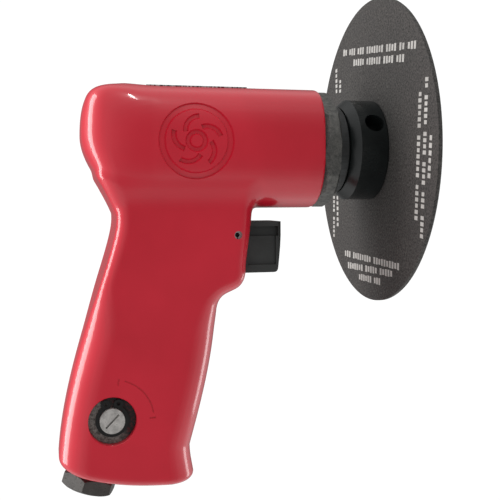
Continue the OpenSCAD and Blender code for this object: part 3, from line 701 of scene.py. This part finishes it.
def medallion_cutters(side):
    """A sunk ring and a sunk vane-wheel of a hub ring and curved strokes."""
    cutters = [arc_groove("medallion_ring", MEDALLION, radii, (0, 360), MEDALLION_DEPTH, side)
               for radii in (MEDALLION_RING, MEDALLION_HUB)]
    for turn in range(0, 360, 360 // STROKES):
        a = math.radians(turn)
        centre = (MEDALLION[0] + STROKE_OFFSET * math.cos(a), MEDALLION[1] + STROKE_OFFSET * math.sin(a))
        angles = [turn + angle for angle in STROKE_ANGLES]
        cutters.append(arc_groove("medallion_stroke", centre, STROKE_RADII, angles, MEDALLION_DEPTH, side))
    return cutters


def housing():
    """The painted casting, with the bores and recesses that show or that hold another piece."""
    shell = housing_shell()
    x, _, z = REGULATOR_POS
    cutters = [
        rod_x("motor_bore", MOTOR_BORE_R, MOTOR_BORE_REAR, 0.0),
        rod_x("nut_thread", NUT_THREAD_R, span("clamp_nut")[0][0], 0.0),
        box("trigger_pocket", *TRIGGER_POCKET),
        rod_x("valve_bore", VALVE_BORE_R, *VALVE_BORE_X, z=VALVE_Z),
        rod_y("pin_hole", *HANDLE_PIN, PIN_R, -OUTSIDE, OUTSIDE, 32),
    ]
    for side in (-1, 1):
        cutters += medallion_cutters(side)
    cutters += [arc_groove("regulator_scale", (x, z), radii, angles, SCALE_DEPTH, slope=SCALE_SLOPE)
                for radii, angles in SCALE_GROOVES]
    flared = RECESS_R + MOUTH_FLARE
    cutters += [
        rod_y("regulator_bore", x, z, REGULATOR_BORE_R, -OUTSIDE, OUTSIDE),
        lathe("regulator_recess", [(-OUTSIDE, 0), (-OUTSIDE, flared), (MOUTH_Y[0], flared),
                                   (MOUTH_Y[1], RECESS_R), (REGULATOR_FLOOR, RECESS_R),
                                   (REGULATOR_FLOOR, 0)], at(x, 0, z) @ ALONG_Y),
        rod_y("regulator_far_recess", x, z, FAR_RECESS_R, REGULATOR_FAR_FLOOR, OUTSIDE, 96),
        box("nameplate_recess", *NAMEPLATE_RECESS),
        rod("exhaust_bore", EXHAUST_R, *EXHAUST_Z, at(EXHAUST_X, 0, 0)),
        rod("exhaust_groove", EXHAUST_GROOVE_R, *EXHAUST_GROOVE_Z, at(EXHAUST_X, 0, 0)),
        rod("inlet_thread", INLET_THREAD_R, *INLET_THREAD_Z, INLET_AXIS, 64),
    ]
    cut(shell, *cutters)
    smooth_shading(shell, 34)
    even_normals(shell)
    finish_piece(shell, "red_paint", ROOT, ["housing"])


INLET_TILT = math.radians(16.3)
INLET_AXIS = at(*REGULATOR_POS) @ Matrix.Rotation(INLET_TILT, 4, "Y")
housing()


# ---------------------------------------------------------------- pieces that keep their CAD mesh

# Width of each shown CAD node's rounded edges, and the angle above which an edge is one
EDGE_ROUNDS = {
    "clamp_nut": (0.22, 11), "trigger": (0.35, 25), "pad_hub": (0.30, 20), "backing_pad": (0.25, 25),
    "front_end_plate": (0.30, 25), "inlet_bushing": (0.25, 15), "regulator_stem": (0.35, 25),
    "regulator_snap_ring": (0.12, 25), "regulator_washer": (0.15, 25), "trigger_pin": (0.15, 25),
    "nameplate": (0.12, 25), "exhaust_cap": (0.15, 25), "pad_washer": (0.15, 25), "pad_screw": (0.15, 20),
}


def dress_cad():
    """Procedural finishes on every CAD node, and rounded edges on those that show."""
    slots = {row["node"]: row["material_slot"] for row in frame["record"]["subparts"]}
    for name, obj in frame["nodes"].items():
        finish = materials[slots[name]]
        if not obj.data.materials:
            obj.data.materials.append(finish)
        for i in range(len(obj.material_slots)):
            obj.material_slots[i].material = finish
    for name, (width, angle) in EDGE_ROUNDS.items():
        soften(frame["nodes"][name], width, angle)


dress_cad()


# ---------------------------------------------------------------- print on the pad's back

PAD_BACK = -1.6
# Rows of plain marks: start and end as (y, z) on the pad, mark height, and the marks in each group
PRINT_ROWS = [
    ((31.3, 47.0), (-46.4, 36.6), 3.0, (2, 3, 3, 7, 4, 2, 3)),
    ((18.6, 40.4), (-35.8, 33.4), 3.0, (5, 6, 4, 3)),
    ((30.7, -45.6), (-30.2, -47.4), 2.8, (3, 8, 10)),
    ((26.8, -50.9), (-23.5, -50.7), 2.8, (7, 5, 5)),
    ((13.2, -55.0), (-11.3, -55.0), 2.8, (6, 3)),
    ((-54.4, 23.3), (-49.2, -36.1), 2.6, (2, 5, 4, 4, 3, 4)),
    ((-48.9, 18.6), (-44.6, -29.5), 2.6, (6, 7, 6)),
    ((-57.4, 2.0), (-55.4, -14.3), 2.2, (6,)),
    ((41.0, 41.0), (41.0, 28.9), 2.4, (5,)),
    ((35.8, 35.1), (36.0, 28.5), 2.4, (3,)),
    ((45.2, -19.2), (45.5, -39.4), 2.4, (4, 5)),
    ((40.4, -19.2), (40.2, -34.4), 2.4, (6,)),
]
PRINT_PROUD = 0.03
MARK_SHARE = 0.66                # share of a mark's pitch that is ink
GROUP_GAP = 0.9                  # gap between groups, in marks


def printed_marks():
    """Groups of plain upright dashes in rows, standing for the pad's printed notes."""
    points, faces = [], []
    for start, end, height, groups in PRINT_ROWS:
        start, end = np.array(start), np.array(end)
        length = np.linalg.norm(end - start)
        along = (end - start) / length
        across = np.array([-along[1], along[0]])
        pitch = length / (sum(groups) + GROUP_GAP * (len(groups) - 1))
        place = 0.0
        for group in groups:
            for mark in range(group):
                low = start + along * (place + mark * pitch)
                high = low + along * pitch * MARK_SHARE
                half = across * height * (0.5 if (mark + group) % 3 else 0.42)
                base = len(points)
                corners = (low - half, high - half, high + half, low + half)
                for x in (PAD_BACK + 0.01, PAD_BACK - PRINT_PROUD):
                    points += [(x, *corner) for corner in corners]
                faces += [[base + i for i in quad] for quad in (
                    (0, 1, 2, 3), (7, 6, 5, 4), (0, 4, 5, 1), (1, 5, 6, 2), (2, 6, 7, 3), (3, 7, 4, 0))]
            place += (group + GROUP_GAP) * pitch
    marks = mesh_object("pad_print", points, faces)
    finish_piece(marks, "print_white", ROTOR)


printed_marks()


# ---------------------------------------------------------------- camera and light

SKY_RANGE = (0.80, 1.0)          # the dome's strength at the horizon and overhead
GROUND_GLOW = 0.35               # what the white table adds from below
FLAG_DIRECTION = (0.22, -0.97, -0.08)
FLAG_EDGES, FLAG_STRENGTH = (0.62, 0.95), 0.40             # cosine where it begins and is full
BAND_EDGES, BAND_STRENGTH = (0.45, 0.85), 0.2              # the dim band behind the object, along Y
BACKDROP_STRENGTH = 1.05
# Name, place, aim, size in millimetres and watts
SOFTBOXES = [
    ("left_strip", (-615, 140, 60), (-110, 0, -30), (260, 760), 4.4),
    ("top_spot", (-97, -200, 409), (-107, -20, 18), (16, 110), 0.30),
    ("right_fill", (520, 120, -180), (-80, 0, -90), (160, 420), 0.9),
]
CAMERA_POS = (-135.35, -327.08, -20.9)
CAMERA_YAW, CAMERA_ROLL = 13.91, -0.29
LENS, SENSOR = 59.04, 36.0
VIEW_SHIFT_UP = -0.1


def make_camera():
    data = bpy.data.cameras.new("camera")
    data.lens = LENS
    data.sensor_width = SENSOR
    data.shift_y = VIEW_SHIFT_UP
    data.clip_start = 0.01
    camera = bpy.data.objects.new("camera", data)
    bpy.context.scene.collection.objects.link(camera)
    turn = (Matrix.Rotation(math.radians(-CAMERA_YAW), 4, "Z") @ Matrix.Rotation(math.radians(90), 4, "X")
            @ Matrix.Rotation(math.radians(CAMERA_ROLL), 4, "Z"))
    camera.matrix_world = Matrix.Translation([v * MM for v in CAMERA_POS]) @ turn
    bpy.context.scene.camera = camera


def softbox(name, place, aim, size, watts):
    """A rectangular area light at place, facing aim, with its size in millimetres."""
    data = bpy.data.lights.new(name, "AREA")
    data.shape = "RECTANGLE"
    data.size, data.size_y = size[0] * MM, size[1] * MM
    data.energy = watts
    light = bpy.data.objects.new(name, data)
    bpy.context.scene.collection.objects.link(light)
    light.location = [v * MM for v in place]
    light.rotation_euler = (Vector(aim) - Vector(place)).to_track_quat("-Z", "Y").to_euler()


def studio_light():
    """A dome and three softboxes, in front of a plain white backdrop that only the camera sees.

    The dome has a dark flag behind the camera and a dim band behind the object."""
    for name, place, aim, size, watts in SOFTBOXES:
        softbox(name, place, aim, size, watts)
    world = bpy.data.worlds.new("studio")
    bpy.context.scene.world = world
    world.use_nodes = True
    nodes, links = world.node_tree.nodes, world.node_tree.links
    dome = nodes["Background"]
    dome.inputs["Color"].default_value = (1, 1, 1, 1)
    direction = nodes.new("ShaderNodeTexCoord").outputs["Generated"]
    split = nodes.new("ShaderNodeSeparateXYZ")
    links.new(direction, split.inputs["Vector"])
    towards = with_vector(nodes, links, "DOT_PRODUCT", direction, FLAG_DIRECTION)["Value"]
    strength = maths(nodes, links, "ADD", ramp(nodes, links, split.outputs["Z"], 0.0, 0.9, *SKY_RANGE),
                     ramp(nodes, links, split.outputs["Z"], -0.9, 0.0, GROUND_GLOW, 0.0))
    for value, edges, darkest in ((towards, FLAG_EDGES, FLAG_STRENGTH),
                                  (split.outputs["Y"], BAND_EDGES, BAND_STRENGTH)):
        strength = maths(nodes, links, "MULTIPLY", strength, ramp(nodes, links, value, *edges, 1.0, darkest))
    links.new(strength, dome.inputs["Strength"])
    backdrop = nodes.new("ShaderNodeBackground")
    backdrop.inputs["Color"].default_value = (1, 1, 1, 1)
    backdrop.inputs["Strength"].default_value = BACKDROP_STRENGTH
    seen = nodes.new("ShaderNodeLightPath").outputs["Is Camera Ray"]
    choose = nodes.new("ShaderNodeMixShader")
    links.new(seen, choose.inputs["Fac"])
    links.new(dome.outputs["Background"], choose.inputs[1])
    links.new(backdrop.outputs["Background"], choose.inputs[2])
    links.new(choose.outputs["Shader"], nodes["World Output"].inputs["Surface"])


make_camera()
studio_light()
bpy.context.scene.view_settings.view_transform = "Standard"
